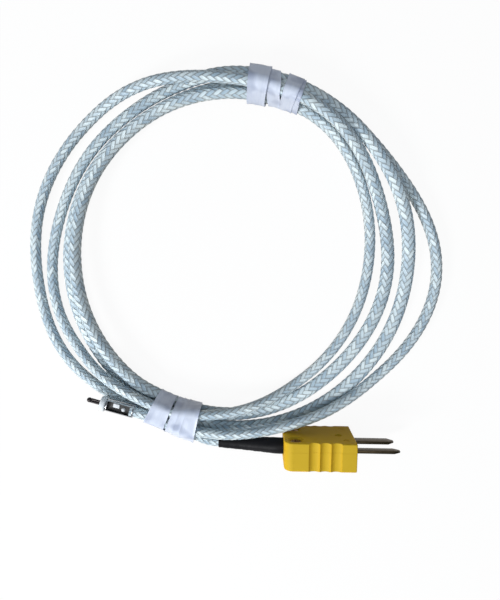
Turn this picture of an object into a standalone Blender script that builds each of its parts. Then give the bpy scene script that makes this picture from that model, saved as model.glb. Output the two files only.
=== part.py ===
"""Thermocouple lead: braided cable in a tied coil, flat-pin miniature plug, ferrule with a bare junction.

Metres, +Z up. The coil lies on the table and the plug stands on one narrow edge.
"""
from math import cos, pi, radians, sin, sqrt

import bmesh
import bpy
import numpy as np
from mathutils import Matrix, Vector

# Clearances
FIT = 0.0003
SNUG = 0.00012

# Cable and coil
CABLE_D = 0.0032
STRAND_GAP = 0.0005
COIL_X = 0.0004
COIL_Y = 0.0044
TOP_ANGLE = 76.0
WRAP_ANGLE = 249.0
TOP_RADIUS = 0.0495
WRAP_RADIUS = 0.0538
HALF_TURN_POINTS = 12
ROUTE_STEP = 0.001
CLIMB = 0.0015
CLIMB_UP = (0.64, 0.79)
CLIMB_DOWN = (0.88, 0.98)

# Tie strip
STRIP_W = 0.0042
STRIP_T = 0.0004
STRIP_GAP = 0.0008
TOP_TURNS = 2.75
WRAP_TURNS = 2.25

# Plug body
PLUG_X = 0.01424
PLUG_DROP = 0.00388
PLUG_TURN = -0.8
PLUG_LENGTH = 0.0208
PLUG_WIDTH = 0.016
PLUG_BASE_T = 0.0047
PLUG_COVER_T = 0.0037
REAR_CORNER = 0.0025
EDGE_ROUND = 0.0004
NOTCH_COUNT = 3
NOTCH_PITCH = 0.0032
NOTCH_DEPTH = 0.0006
FRONT_LAND = 0.0043
FRONT_WALL = 0.0034
COVER_WALL = 0.0008
REAR_BLOCK = 0.0064

# Pins
PIN_PITCH = 0.0079
PIN_REACH = 0.013
PIN_T = 0.0009
PIN_ROOT_T = 0.0008
PIN_MID = 0.0004
POSITIVE_PIN_W = 0.0024
NEGATIVE_PIN_W = 0.0032
PIN_TAPER = 0.0018
PIN_TIP_W = 0.0010
PIN_TIP_T = 0.00045
TANG = 0.0042
TANG_CLEAR = 0.00045

# Terminal screws and washers
TERMINAL_X = 0.0107
TERMINAL_D = 0.0018
TERMINAL_HEAD_D = 0.0032
TERMINAL_HEAD_H = 0.0006
TERMINAL_DEPTH = 0.0020
WASHER_D = 0.0037
WASHER_T = 0.0003
SLOT_W = 0.0005
SLOT_DEPTH = 0.0004

# Cover screws and nuts
COVER_SCREW_INSET = 0.0033
COVER_SCREW_D = 0.0020
COVER_HEAD_D = 0.0032
COVER_HEAD_H = 0.0010
COVER_HEAD_SINK = 0.0006
RIM_D = 0.0046
RIM_DEPTH = 0.0005
NUT_FLATS = 0.0036
NUT_H = 0.0014
NUT_SINK = 0.0003

# Cores, bare ends and boot
CORE_D = 0.0010
CORE_GAP = 0.00024
WIRE_D = 0.0006
WIRE_PAST = 0.0006
BOOT_WALL = 0.00045
BOOT_PLUG_WALL = 0.0010
BOOT_INSERT = 0.0018

# Ferrule and junction
FERRULE_D = 0.00375
FERRULE_L = 0.0086
FERRULE_EDGE = 0.0002
SLEEVE_D = 0.0046
SLEEVE_L = 0.0016
TIP_WIRE_D = 0.00065
TIP_WIRE_REACH = 0.0028
BEAD_D = 0.0015

PITCH = CABLE_D + STRAND_GAP
ROW = PITCH * sqrt(3.0) / 2.0
FLOOR = CABLE_D / 2.0
TIE_LIFT = STRIP_T + FIT

# Columns and rows of the passes in each tie, in cable pitches, and the sideways waves of each half turn in
# millimetres with its rest row and the shares of its length where it comes down from and climbs to the ties.
TOP_PASSES = ((-0.60, 2.02), (-1.04, 0.0), (0.25, 1.15), (0.0, 0.0))
WRAP_PASSES = ((1.0, 0.0), (-1.04, 0.0), (-0.55, 1.36), (0.0, 0.0), (0.51, 1.13))
LEFT_WAVES = (
    ((7.13, -0.23, -0.53, 0.3, -0.6, -0.23, -0.33, -0.25), 0.0, (0.05, 0.15), (0.60, 0.84)),
    ((-0.72, -0.22, 0.0, 0.06, -0.02, 0.02, -0.05, 0.04), 1.10, (0.025, 0.10), (0.927, 1.0)),
    ((2.9, 2.17, 0.59, -0.41, -0.34, -0.3, -0.07, 0.05, -0.05), 0.0, (0.12, 0.25), (0.785, 0.925)),
    ((-2.91, 0.63, -0.37, -0.01, 0.05, -0.06, 0.04), 0.0, (0.05, 0.16), (0.85, 0.94)),
)
RIGHT_WAVES = (
    ((-2.63, -0.34, 0.27, -0.07, 0.47, 0.06), 0.0, (0.08, 0.38), (0.85, 0.95)),
    ((-8.28, 1.45, 0.56, 0.56, 0.21, 0.15, 0.05, 0.06), 0.0, (0.06, 0.16), (0.72, 0.90)),
    ((-0.1, -0.56, -0.05, -0.15, 0.06, 0.03), 0.0, (0.27, 0.48), (0.853, 0.95)),
    ((4.74, 1.6, -2.61, -0.28, 0.71, 0.38, 0.12, -0.11), 0.0, (0.06, 0.14), (0.592, 0.749)),
)

for old in list(bpy.data.objects):
    bpy.data.objects.remove(old, do_unlink=True)


def material(name, colour, roughness, metallic=0.0):
    made = bpy.data.materials.new(name)
    made.use_nodes = True
    shader = made.node_tree.nodes["Principled BSDF"]
    shader.inputs["Base Color"].default_value = (*colour, 1.0)
    shader.inputs["Roughness"].default_value = roughness
    shader.inputs["Metallic"].default_value = metallic
    return made


def place(name, data, mat, parent=None, at=(0.0, 0.0, 0.0)):
    made = bpy.data.objects.new(name, data)
    bpy.context.scene.collection.objects.link(made)
    if mat is not None:
        data.materials.append(mat)
    made.parent = parent
    made.location = at
    return made


def finish(bm, name):
    bmesh.ops.recalc_face_normals(bm, faces=bm.faces)
    mesh = bpy.data.meshes.new(name)
    bm.to_mesh(mesh)
    bm.free()
    mesh.shade_smooth()
    mesh.set_sharp_from_angle(angle=radians(32.0))
    return mesh


def prism(outline, low, high, name, round_high=0.0, round_low=0.0):
    """Outline in x and z, extruded along y."""
    bm = bmesh.new()
    base = bm.faces.new([bm.verts.new((x, low, z)) for x, z in outline])
    grown = bmesh.ops.extrude_face_region(bm, geom=[base])["geom"]
    bmesh.ops.translate(bm, vec=(0.0, high - low, 0.0), verts=[g for g in grown if isinstance(g, bmesh.types.BMVert)])
    for height, width in ((high, round_high), (low, round_low)):
        if width > 0.0:
            edges = [e for e in bm.edges if all(abs(v.co.y - height) < 1e-7 for v in e.verts)]
            bmesh.ops.bevel(bm, geom=edges, offset=width, segments=2, profile=0.5, affect="EDGES")
    return finish(bm, name)


def turned(profile, sides, name, axis="Y", closed=False):
    """Radius and height pairs turned about an axis; a closed profile makes a ring."""
    bm = bmesh.new()
    rings = []
    for radius, height in profile:
        ring = []
        for k in range(sides):
            a = 2.0 * pi * k / sides
            p = (radius * cos(a), height, radius * sin(a))
            ring.append(bm.verts.new(p if axis == "Y" else (height, p[0], p[2])))
        rings.append(ring)
    pairs = list(zip(rings, rings[1:])) + ([(rings[-1], rings[0])] if closed else [])
    for a, b in pairs:
        for k in range(sides):
            bm.faces.new((a[k], a[(k + 1) % sides], b[(k + 1) % sides], b[k]))
    if not closed:
        bm.faces.new(rings[0])
        bm.faces.new(rings[-1])
    return finish(bm, name)


def swept(points, outer, inner, sides, name):
    """Pipe along points with an outer and an inner radius at each point; an inner radius of None is solid."""
    path = [Vector(p) for p in points]
    bm = bmesh.new()
    walls = []
    for radii in (outer, inner):
        if radii is None:
            continue
        rings = []
        for k, p in enumerate(path):
            d = (path[min(k + 1, len(path) - 1)] - path[max(k - 1, 0)]).normalized()
            side = d.cross(Vector((0.0, 1.0, 0.0))).normalized()
            up = side.cross(d)
            turn = [2.0 * pi * i / sides for i in range(sides)]
            rings.append([bm.verts.new(p + radii[k] * (cos(a) * side + sin(a) * up)) for a in turn])
        walls.append(rings)
        for a, b in zip(rings, rings[1:]):
            for i in range(sides):
                bm.faces.new((a[i], a[(i + 1) % sides], b[(i + 1) % sides], b[i]))
    for end in (0, -1):
        if len(walls) == 2:
            for i in range(sides):
                j = (i + 1) % sides
                bm.faces.new((walls[0][end][i], walls[0][end][j], walls[1][end][j], walls[1][end][i]))
        else:
            bm.faces.new(walls[0][end])
    return finish(bm, name)


def flat_bar(stations, name):
    """Rectangles at x, each with its half width in z and half thickness in y, joined into one bar."""
    bm = bmesh.new()
    rings = [[bm.verts.new((x, y * t, z * h)) for y, z in ((-1, -1), (1, -1), (1, 1), (-1, 1))] for x, h, t in stations]
    for a, b in zip(rings, rings[1:]):
        for i in range(4):
            bm.faces.new((a[i], a[(i + 1) % 4], b[(i + 1) % 4], b[i]))
    bm.faces.new(rings[0])
    bm.faces.new(rings[-1])
    return finish(bm, name)


def box(x0, x1, y0, y1, z0, z1, name):
    return prism([(x0, z0), (x1, z0), (x1, z1), (x0, z1)], y0, y1, name)


def cutter(name, mesh, parent, at=(0.0, 0.0, 0.0)):
    made = place(name, mesh, None, parent, at)
    made.hide_render = True
    made.display_type = "WIRE"
    return made


def cut(target, tools):
    for tool in tools:
        step = target.modifiers.new(tool.name, "BOOLEAN")
        step.operation = "DIFFERENCE"
        step.solver = "EXACT"
        step.object = tool


def tube(name, points, diameter, mat, resolution, parent=None):
    data = bpy.data.curves.new(name, "CURVE")
    data.dimensions = "3D"
    data.bevel_depth = diameter / 2.0
    data.bevel_resolution = resolution
    data.use_fill_caps = True
    line = data.splines.new("POLY")
    line.points.add(len(points) - 1)
    for point, p in zip(line.points, points):
        point.co = (*p, 1.0)
    line.use_smooth = True
    return place(name, data, mat, parent)


def smooth(points, count):
    """Evenly shared points on a rounded curve through the given points."""
    p = np.array(points, dtype=float)
    p = np.vstack([2.0 * p[0] - p[1], p, 2.0 * p[-1] - p[-2]])
    out = []
    for k in range(1, len(p) - 2):
        for t in np.arange(count) / count:
            a, b, c, d = p[k - 1], p[k], p[k + 1], p[k + 2]
            out.append(0.5 * (2.0 * b + (c - a) * t + (2.0 * a - 5.0 * b + 4.0 * c - d) * t * t
                              + (3.0 * b - a - 3.0 * c + d) * t ** 3))
    return [Vector(v) for v in out] + [Vector(p[-2])]


def ease(x):
    return (1.0 - cos(pi * min(max(x, 0.0), 1.0))) / 2.0


def half_turn(turn, left, u):
    """Point at share u of a half turn: the left one runs from the wrap to the top tie, the right one back."""
    if left:
        (ca, ka), (cb, kb) = WRAP_PASSES[turn], TOP_PASSES[turn]
        ra, rb = WRAP_RADIUS + ca * PITCH, TOP_RADIUS + cb * PITCH
        angle = WRAP_ANGLE + (TOP_ANGLE - WRAP_ANGLE) * u
        waves, rest, (h0, h1), (h2, h3) = LEFT_WAVES[turn]
    else:
        (ca, ka), (cb, kb) = TOP_PASSES[turn], WRAP_PASSES[turn + 1]
        ra, rb = TOP_RADIUS + ca * PITCH, WRAP_RADIUS + cb * PITCH
        angle = TOP_ANGLE + (WRAP_ANGLE - 360.0 - TOP_ANGLE) * u
        waves, rest, (h0, h1), (h2, h3) = RIGHT_WAVES[turn]
    low = FLOOR + rest * ROW
    start, end = FLOOR + TIE_LIFT + ka * ROW, FLOOR + TIE_LIFT + kb * ROW
    r = ra + (rb - ra) * ease(u) + ROUTE_STEP * sum(a * sin(pi * (n + 1) * u) for n, a in enumerate(waves))
    z = low + (start - low) * (1.0 - ease((u - h0) / (h1 - h0))) + (end - low) * ease((u - h2) / (h3 - h2))
    if not left and turn == len(TOP_PASSES) - 1:
        # The last half turn climbs over the boot
        (c0, c1), (c2, c3) = CLIMB_UP, CLIMB_DOWN
        z += CLIMB * ease((u - c0) / (c1 - c0)) * (1.0 - ease((u - c2) / (c3 - c2)))
    return Vector((COIL_X + r * cos(radians(angle)), COIL_Y + r * sin(radians(angle)), z))


# Finishes
yellow = material("plug_yellow", (0.62, 0.42, 0.03), 0.42)
bronze = material("pin_bronze", (0.10, 0.07, 0.04), 0.38, 1.0)
steel = material("screw_steel", (0.32, 0.31, 0.30), 0.35, 1.0)
brass = material("nut_brass", (0.55, 0.40, 0.16), 0.35, 1.0)
shrink = material("boot_black", (0.012, 0.012, 0.014), 0.5)
core_yellow = material("core_yellow", (0.70, 0.52, 0.05), 0.6)
core_red = material("core_red", (0.50, 0.05, 0.04), 0.6)
alloy = material("thermo_alloy", (0.28, 0.26, 0.25), 0.4, 1.0)
braid = material("glass_braid", (0.70, 0.75, 0.80), 0.75)
polished = material("ferrule_steel", (0.55, 0.55, 0.56), 0.15, 1.0)
sleeve_white = material("sleeve_white", (0.78, 0.80, 0.82), 0.75)
strip_clear = material("strip_milky", (0.72, 0.79, 0.92), 0.3)

# Plug
plug = bpy.data.objects.new("plug_frame", None)
bpy.context.scene.collection.objects.link(plug)
plug.location = (COIL_X + PLUG_X, COIL_Y - WRAP_RADIUS - PLUG_DROP, PLUG_WIDTH / 2.0)
plug.rotation_euler = (0.0, 0.0, radians(PLUG_TURN))
plug_matrix = Matrix.Translation(plug.location) @ Matrix.Rotation(radians(PLUG_TURN), 4, "Z")

HALF_W = PLUG_WIDTH / 2.0
PIN_Z = PIN_PITCH / 2.0
PIN_TOP = PIN_MID + PIN_ROOT_T / 2.0
PART_LINE = PIN_TOP
COVER_LINE = PART_LINE + FIT
TRAY_FLOOR = PIN_MID - PIN_ROOT_T / 2.0 - SNUG
TRAY_FRONT = PLUG_LENGTH - FRONT_WALL
TRAY_HALF = PIN_PITCH / 2.0 + TANG / 2.0 + TANG_CLEAR
CEILING = PLUG_COVER_T - COVER_WALL
SCREW_Z = HALF_W - COVER_SCREW_INSET
BOOT_BORE = 2.0 * CORE_D + 3.0 * CORE_GAP
BOOT_D = BOOT_BORE + 2.0 * BOOT_PLUG_WALL
MOUTH_R = BOOT_D / 2.0 + FIT
BEYOND = 0.002


def plug_outline():
    side = []
    for k in range(7):
        a = pi + pi / 2.0 * k / 6
        side.append((REAR_CORNER + REAR_CORNER * cos(a), -HALF_W + REAR_CORNER + REAR_CORNER * sin(a)))
    start = PLUG_LENGTH - FRONT_LAND - NOTCH_COUNT * NOTCH_PITCH
    for n in range(NOTCH_COUNT):
        for k in range(7):
            t = k / 6
            if n and not k:
                continue
            side.append((start + (n + t) * NOTCH_PITCH, -HALF_W + NOTCH_DEPTH * (1.0 - (2.0 * t - 1.0) ** 2)))
    side.append((PLUG_LENGTH, -HALF_W))
    return side + [(x, -z) for x, z in reversed(side)]


base = place("plug_base", prism(plug_outline(), -PLUG_BASE_T, PART_LINE, "plug_base", round_low=EDGE_ROUND),
             yellow, plug)
cover = place("plug_cover", prism(plug_outline(), COVER_LINE, PLUG_COVER_T, "plug_cover", round_high=EDGE_ROUND),
              yellow, plug)

tray = cutter("cut_tray", box(REAR_BLOCK, TRAY_FRONT, TRAY_FLOOR, PART_LINE + BEYOND, -TRAY_HALF, TRAY_HALF,
                              "cut_tray"), plug)
roof = cutter("cut_roof", box(REAR_BLOCK, TRAY_FRONT, PART_LINE, CEILING, -TRAY_HALF, TRAY_HALF, "cut_roof"), plug)
mouth = cutter("cut_mouth", turned([(MOUTH_R, -BEYOND), (MOUTH_R, BOOT_INSERT + FIT)], 24, "cut_mouth", "X"), plug)
WIRE_Y = PIN_TOP + SNUG + WIRE_D / 2.0
CHANNEL_Y = CORE_D / 2.0 + 2.0 * FIT
channel = cutter("cut_channel", box(BOOT_INSERT, REAR_BLOCK + SNUG, -CHANNEL_Y, WIRE_Y + CHANNEL_Y, -MOUTH_R,
                                    MOUTH_R, "cut_channel"), plug)
base_cuts, cover_cuts = [tray, mouth, channel], [roof, mouth, channel]

PINS = (("positive", 1.0, POSITIVE_PIN_W, core_yellow), ("negative", -1.0, NEGATIVE_PIN_W, core_red))
WASHER_Y = PIN_TOP + SNUG + WIRE_D + SNUG
HEAD_Y = WASHER_Y + WASHER_T + SNUG
WIRE_Z = PIN_Z - TERMINAL_D / 2.0 - SNUG - WIRE_D / 2.0
TANG_REAR = TERMINAL_X - TANG / 2.0
HOLE_R = TERMINAL_D / 2.0 + SNUG

for name, sign, width, colour in PINS:
    z = sign * PIN_Z
    h, root, thick, end = width / 2.0, PIN_ROOT_T / 2.0, PIN_T / 2.0, PLUG_LENGTH + PIN_REACH
    tang_front = TERMINAL_X + TANG / 2.0
    bar = [(TANG_REAR, TANG / 2.0, root), (tang_front, TANG / 2.0, root), (tang_front + FIT, h, root),
           (PLUG_LENGTH + FIT, h, root), (PLUG_LENGTH + 2.0 * FIT, h, thick), (end - PIN_TAPER, h, thick),
           (end, PIN_TIP_W / 2.0, PIN_TIP_T / 2.0)]
    mesh = flat_bar(bar, name + "_pin")
    pin = place(name + "_pin", mesh, bronze, plug, (0.0, PIN_MID, z))
    hole = turned([(HOLE_R, -PIN_T), (HOLE_R, PIN_T)], 20, "cut_" + name + "_tang")
    cut(pin, [cutter("cut_" + name + "_tang", hole, plug, (TERMINAL_X, PIN_MID, z))])
    slot = box(TRAY_FRONT - SNUG, PLUG_LENGTH + BEYOND, TRAY_FLOOR, PART_LINE + BEYOND, -h - SNUG, h + SNUG,
               "cut_" + name + "_slot")
    base_cuts.append(cutter("cut_" + name + "_slot", slot, plug, (0.0, 0.0, z)))
    bore = turned([(HOLE_R, TRAY_FLOOR - TERMINAL_DEPTH - FIT), (HOLE_R, PART_LINE)], 20, "cut_" + name + "_bore")
    base_cuts.append(cutter("cut_" + name + "_bore", bore, plug, (TERMINAL_X, 0.0, z)))
    ring = [(HOLE_R, 0.0), (WASHER_D / 2.0, 0.0), (WASHER_D / 2.0, WASHER_T), (HOLE_R, WASHER_T)]
    place(name + "_clamp_washer", turned(ring, 24, name + "_clamp_washer", closed=True), steel, plug,
          (TERMINAL_X, WASHER_Y, z))
    screw = [(TERMINAL_D / 2.0, TRAY_FLOOR - TERMINAL_DEPTH - HEAD_Y), (TERMINAL_D / 2.0, 0.0),
             (TERMINAL_HEAD_D / 2.0, 0.0), (TERMINAL_HEAD_D / 2.0, TERMINAL_HEAD_H * 0.7),
             (TERMINAL_HEAD_D / 2.0 - TERMINAL_HEAD_H * 0.3, TERMINAL_HEAD_H)]
    screw = place(name + "_terminal_screw", turned(screw, 24, name + "_terminal_screw"), steel, plug,
                  (TERMINAL_X, HEAD_Y, z))
    slit = box(-TERMINAL_HEAD_D, TERMINAL_HEAD_D, TERMINAL_HEAD_H - SLOT_DEPTH, TERMINAL_HEAD_H + BEYOND,
               -SLOT_W / 2.0, SLOT_W / 2.0, "cut_" + name + "_slit")
    cut(screw, [cutter("cut_" + name + "_slit", slit, plug, (TERMINAL_X, HEAD_Y, z))])
    wire_end = TERMINAL_X + WASHER_D / 2.0 + WIRE_PAST
    tube(name + "_wire_end", [(x, WIRE_Y, sign * WIRE_Z) for x in (TANG_REAR, (TANG_REAR + wire_end) / 2.0, wire_end)],
         WIRE_D, alloy, 2, plug)

HEAD_TOP = PLUG_COVER_T - COVER_HEAD_SINK
HEAD_SEAT = HEAD_TOP - COVER_HEAD_H
NUT_Y = -PLUG_BASE_T + NUT_SINK
for name, sign in (("upper", 1.0), ("lower", -1.0)):
    at = (COVER_SCREW_INSET, 0.0, sign * SCREW_Z)
    r = COVER_SCREW_D / 2.0
    drill = turned([(r + SNUG, -PLUG_BASE_T - BEYOND), (r + SNUG, PLUG_COVER_T + BEYOND)], 24,
                   "cut_" + name + "_drill")
    drill = cutter("cut_" + name + "_drill", drill, plug, at)
    head_r = COVER_HEAD_D / 2.0 + SNUG
    sink = turned([(head_r, HEAD_SEAT - SNUG), (head_r, PLUG_COVER_T - RIM_DEPTH), (RIM_D / 2.0, PLUG_COVER_T),
                   (RIM_D / 2.0, PLUG_COVER_T + BEYOND)], 24, "cut_" + name + "_sink")
    cover_cuts += [drill, cutter("cut_" + name + "_sink", sink, plug, at)]
    hexagon = [(cos(pi / 3.0 * k), sin(pi / 3.0 * k)) for k in range(6)]
    across = NUT_FLATS / sqrt(3.0)
    pocket = prism([((across + SNUG) * x, (across + SNUG) * z) for x, z in hexagon], -PLUG_BASE_T - BEYOND,
                   NUT_Y + NUT_H + SNUG, "cut_" + name + "_pocket")
    base_cuts += [drill, cutter("cut_" + name + "_pocket", pocket, plug, at)]
    nut = place(name + "_cover_nut", prism([(across * x, across * z) for x, z in hexagon], NUT_Y, NUT_Y + NUT_H,
                                           name + "_cover_nut"), brass, plug, at)
    cut(nut, [drill])
    screw = [(r, NUT_Y - HEAD_SEAT), (r, 0.0), (COVER_HEAD_D / 2.0, 0.0), (COVER_HEAD_D / 2.0, COVER_HEAD_H * 0.7),
             (COVER_HEAD_D / 2.0 - COVER_HEAD_H * 0.3, COVER_HEAD_H)]
    screw = place(name + "_cover_screw", turned(screw, 24, name + "_cover_screw"), steel, plug,
                  (at[0], HEAD_SEAT, at[2]))
    arms = []
    for arm, (hx, hz) in (("a", (COVER_HEAD_D * 0.36, SLOT_W / 2.0)), ("b", (SLOT_W / 2.0, COVER_HEAD_D * 0.36))):
        slit = box(-hx, hx, COVER_HEAD_H - SLOT_DEPTH, COVER_HEAD_H + BEYOND, -hz, hz, "cut_" + name + "_cross_" + arm)
        arms.append(cutter("cut_" + name + "_cross_" + arm, slit, plug, (at[0], HEAD_SEAT, at[2])))
    cut(screw, arms)

cut(base, base_cuts)
cut(cover, cover_cuts)

# Boot, from inside the plug's mouth down to the cable, and the two cores that run through it
BOOT_BENDS = ((-1.0, 0.0, 0.0), (-3.0, -0.15, -0.6), (-6.0, -0.55, -2.1), (-9.0, -0.95, -3.6), (-12.5, -1.15, -4.7),
              (-16.0, -1.2, -5.3), (-19.6, -1.1, -5.6))
BOOT_ROUTE = [Vector((BOOT_INSERT, 0.0, 0.0))] + [ROUTE_STEP * Vector(p) for p in BOOT_BENDS]
boot_line = smooth(BOOT_ROUTE, 3)
boot_share = [min(max((BOOT_ROUTE[2].x - p.x) / (BOOT_ROUTE[2].x - BOOT_ROUTE[-1].x), 0.0), 1.0) for p in boot_line]
boot_outer = [BOOT_BORE / 2.0 + BOOT_PLUG_WALL + (BOOT_WALL - BOOT_PLUG_WALL) * s for s in boot_share]
place("cable_boot", swept(boot_line, boot_outer, [BOOT_BORE / 2.0] * len(boot_line), 20, "cable_boot"), shrink, plug)

CORE_OFF = (CORE_D + CORE_GAP) / 2.0
CORE_END = TANG_REAR - FIT
for name, sign, width, colour in PINS:
    route = []
    for k in range(len(BOOT_ROUTE) - 1, -1, -1):
        p = BOOT_ROUTE[k]
        d = (BOOT_ROUTE[max(k - 1, 0)] - BOOT_ROUTE[min(k + 1, len(BOOT_ROUTE) - 1)]).normalized()
        up = (Vector((0.0, 0.0, 1.0)) - d * d.z).normalized()
        route.append(p + sign * CORE_OFF * up)
    for x, rise in ((0.18, 0.04), (0.45, 0.35), (0.72, 0.76), (0.88, 0.97), (1.0, 1.0)):
        route.append(Vector((BOOT_INSERT + (CORE_END - BOOT_INSERT) * x, WIRE_Y * rise,
                             sign * (CORE_OFF + (WIRE_Z - CORE_OFF) * rise))))
    tube(name + "_core", smooth(route, 2), CORE_D, colour, 2, plug)

# Cable: a hand-laid lead from the boot, the turns of the coil, and a hand-laid run to the ferrule
boot_end = plug_matrix @ BOOT_ROUTE[-1]
boot_way = (boot_end - plug_matrix @ BOOT_ROUTE[-2]).normalized()
LEAD = ((6.3, -6.1, 2.3), (2.4, -4.85, 2.3))
TIP = ((-4.3, -0.3, 6.3), (-7.7, 1.2, 6.6), (-11.1, 2.15, 6.6))
wrap_angle = radians(WRAP_ANGLE)
wrap = Vector((COIL_X + WRAP_RADIUS * cos(wrap_angle), COIL_Y + WRAP_RADIUS * sin(wrap_angle), 0.0))
cable = [boot_end + boot_way * FIT, boot_end + boot_way * (FIT + CABLE_D)]
cable += [wrap + ROUTE_STEP * Vector(p) for p in LEAD]
for turn in range(len(TOP_PASSES)):
    for left in (True, False):
        cable += [half_turn(turn, left, k / HALF_TURN_POINTS) for k in range(HALF_TURN_POINTS)]
cable += [half_turn(len(TOP_PASSES) - 1, False, 1.0)]
cable += [wrap + ROUTE_STEP * Vector(p) for p in TIP]
tube("braided_cable", cable, CABLE_D, braid, 1)


def dense(points, step):
    out = []
    for a, b in zip(points, points[1:]):
        count = max(1, int((b - a).length / step))
        out += [a + (b - a) * (k / count) for k in range(count)]
    return np.array([tuple(p) for p in out + [points[-1]]])


line = dense(cable, CABLE_D / 4.0)
along = np.concatenate([[0.0], np.cumsum(np.linalg.norm(np.diff(line, axis=0), axis=1))])
apart = np.linalg.norm(line[:, None, :] - line[None, :, :], axis=2)
apart[np.abs(along[:, None] - along[None, :]) < 6.0 * CABLE_D] = 1.0
print("braided_cable: length %.3f m, least gap to itself %.2f mm" % (along[-1], (apart.min() - CABLE_D) * 1000.0))

# Ties: a flat strip wound in spaced turns round all the passes
flat = line - np.array((COIL_X, COIL_Y, 0.0))
strand_r = np.hypot(flat[:, 0], flat[:, 1])
strand_a = np.degrees(np.arctan2(flat[:, 1], flat[:, 0])) % 360.0


def tie(name, angle, radius, turns):
    step = STRIP_W + STRIP_GAP
    loops = []
    for k in range(int(turns * 24) + 1):
        lap = k / 24.0
        here = angle + np.degrees((lap - turns / 2.0) * step / radius)
        near = np.abs(strand_a - here) < np.degrees((STRIP_W / 2.0 + STRIP_GAP) / radius)
        r0, r1 = strand_r[near].min(), strand_r[near].max()
        z0, z1 = max(line[near, 2].min(), FLOOR + TIE_LIFT), line[near, 2].max()
        corner, place_in = divmod(k % 24, 6)
        a = pi / 2.0 * (corner + place_in / 5.0)
        out_r, out_z = cos(a), sin(a)
        centre_r, centre_z = (r1 if corner in (0, 3) else r0), (z1 if corner in (0, 1) else z0)
        section = []
        for side, lift in ((-0.5, 0.0), (0.5, 0.0), (0.5, STRIP_T), (-0.5, STRIP_T)):
            grow = CABLE_D / 2.0 + FIT + lift
            r, z = centre_r + grow * out_r, centre_z + grow * out_z
            way = radians(here) + side * STRIP_W / radius
            section.append(Vector((COIL_X + r * cos(way), COIL_Y + r * sin(way), z)))
        loops.append(section)
    bm = bmesh.new()
    rings = [[bm.verts.new(p) for p in section] for section in loops]
    for a, b in zip(rings, rings[1:]):
        for i in range(4):
            bm.faces.new((a[i], a[(i + 1) % 4], b[(i + 1) % 4], b[i]))
    bm.faces.new(rings[0])
    bm.faces.new(rings[-1])
    place(name, finish(bm, name), strip_clear)
    points = np.array([[tuple(p) for p in section] for section in loops])
    least = min(np.linalg.norm(points[k + 18:k + 31].reshape(-1, 3)[:, None] - points[k][None], axis=2).min()
                for k in range(len(points) - 18))
    print("%s: least gap to itself %.2f mm" % (name, least * 1000.0))


tie("top_tie", TOP_ANGLE, TOP_RADIUS, TOP_TURNS)
tie("bottom_tie", WRAP_ANGLE, WRAP_RADIUS, WRAP_TURNS)

# Measuring end
tip_way = (cable[-1] - cable[-2]).normalized()
tip = bpy.data.objects.new("tip_frame", None)
bpy.context.scene.collection.objects.link(tip)
tip.location = cable[-1] + tip_way * FIT
tip.rotation_euler = tip_way.to_track_quat("X", "Z").to_euler()
FERRULE_BORE = 2.0 * TIP_WIRE_D + 3.0 * SNUG
fr, fb, fe = FERRULE_D / 2.0, FERRULE_BORE / 2.0, FERRULE_EDGE
ferrule = [(fb, 0.0), (fr - fe, 0.0), (fr, fe), (fr, FERRULE_L - fe), (fr - fe, FERRULE_L), (fb, FERRULE_L)]
place("tip_ferrule", turned(ferrule, 24, "tip_ferrule", "X", closed=True), polished, tip)
s0, s1, sr = FERRULE_L + FIT / 2.0, FERRULE_L + FIT / 2.0 + SLEEVE_L, SLEEVE_D / 2.0
sleeve = [(fb, s0), (sr - fe, s0), (sr, s0 + fe), (sr, s1 - fe), (sr - fe, s1), (fb, s1)]
place("tip_sleeve", turned(sleeve, 24, "tip_sleeve", "X", closed=True), sleeve_white, tip)
WIRE_STOP = s1 + TIP_WIRE_REACH
for name, sign, width, colour in PINS:
    off = sign * (TIP_WIRE_D + SNUG) / 2.0
    tube("tip_" + name + "_wire", [(x, off, 0.0) for x in (0.0, WIRE_STOP / 2.0, WIRE_STOP)], TIP_WIRE_D, alloy, 2, tip)
bm = bmesh.new()
bmesh.ops.create_uvsphere(bm, u_segments=16, v_segments=10, radius=BEAD_D / 2.0)
place("junction_bead", finish(bm, "junction_bead"), alloy, tip, (WIRE_STOP + SNUG + BEAD_D / 2.0, 0.0, 0.0))
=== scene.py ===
from math import cos, pi, radians, sin, sqrt

import bmesh
import bpy
import numpy as np
from mathutils import Matrix, Vector


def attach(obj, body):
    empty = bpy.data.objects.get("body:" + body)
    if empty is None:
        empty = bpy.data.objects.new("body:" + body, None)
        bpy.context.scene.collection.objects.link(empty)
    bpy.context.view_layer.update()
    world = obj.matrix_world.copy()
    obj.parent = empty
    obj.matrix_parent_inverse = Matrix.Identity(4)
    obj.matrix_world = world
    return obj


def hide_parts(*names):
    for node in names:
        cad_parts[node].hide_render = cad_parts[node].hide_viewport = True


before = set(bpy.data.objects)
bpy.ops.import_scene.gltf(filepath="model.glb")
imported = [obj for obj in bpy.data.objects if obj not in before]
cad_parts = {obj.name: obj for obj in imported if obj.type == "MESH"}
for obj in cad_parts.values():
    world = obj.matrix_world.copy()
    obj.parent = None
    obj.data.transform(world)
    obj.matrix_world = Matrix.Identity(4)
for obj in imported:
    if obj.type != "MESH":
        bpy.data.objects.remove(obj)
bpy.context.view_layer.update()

scene = bpy.context.scene
scene.view_settings.view_transform = "Standard"
MM = 0.001

# Camera, floor and light

camera = bpy.data.objects.new("camera", bpy.data.cameras.new("camera"))
scene.collection.objects.link(camera)
camera.data.sensor_width = 36.0
camera.data.lens = 32.31
camera.data.clip_start = 0.005
camera.location = (0.0067, 0.00673, 0.1641)
camera.rotation_euler = (radians(-5.9159), radians(0.7408), 0.0)
scene.camera = camera


def material(name):
    """A new material with its nodes and links."""
    made = bpy.data.materials.new(name)
    made.use_nodes = True
    return made, made.node_tree.nodes, made.node_tree.links


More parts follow.
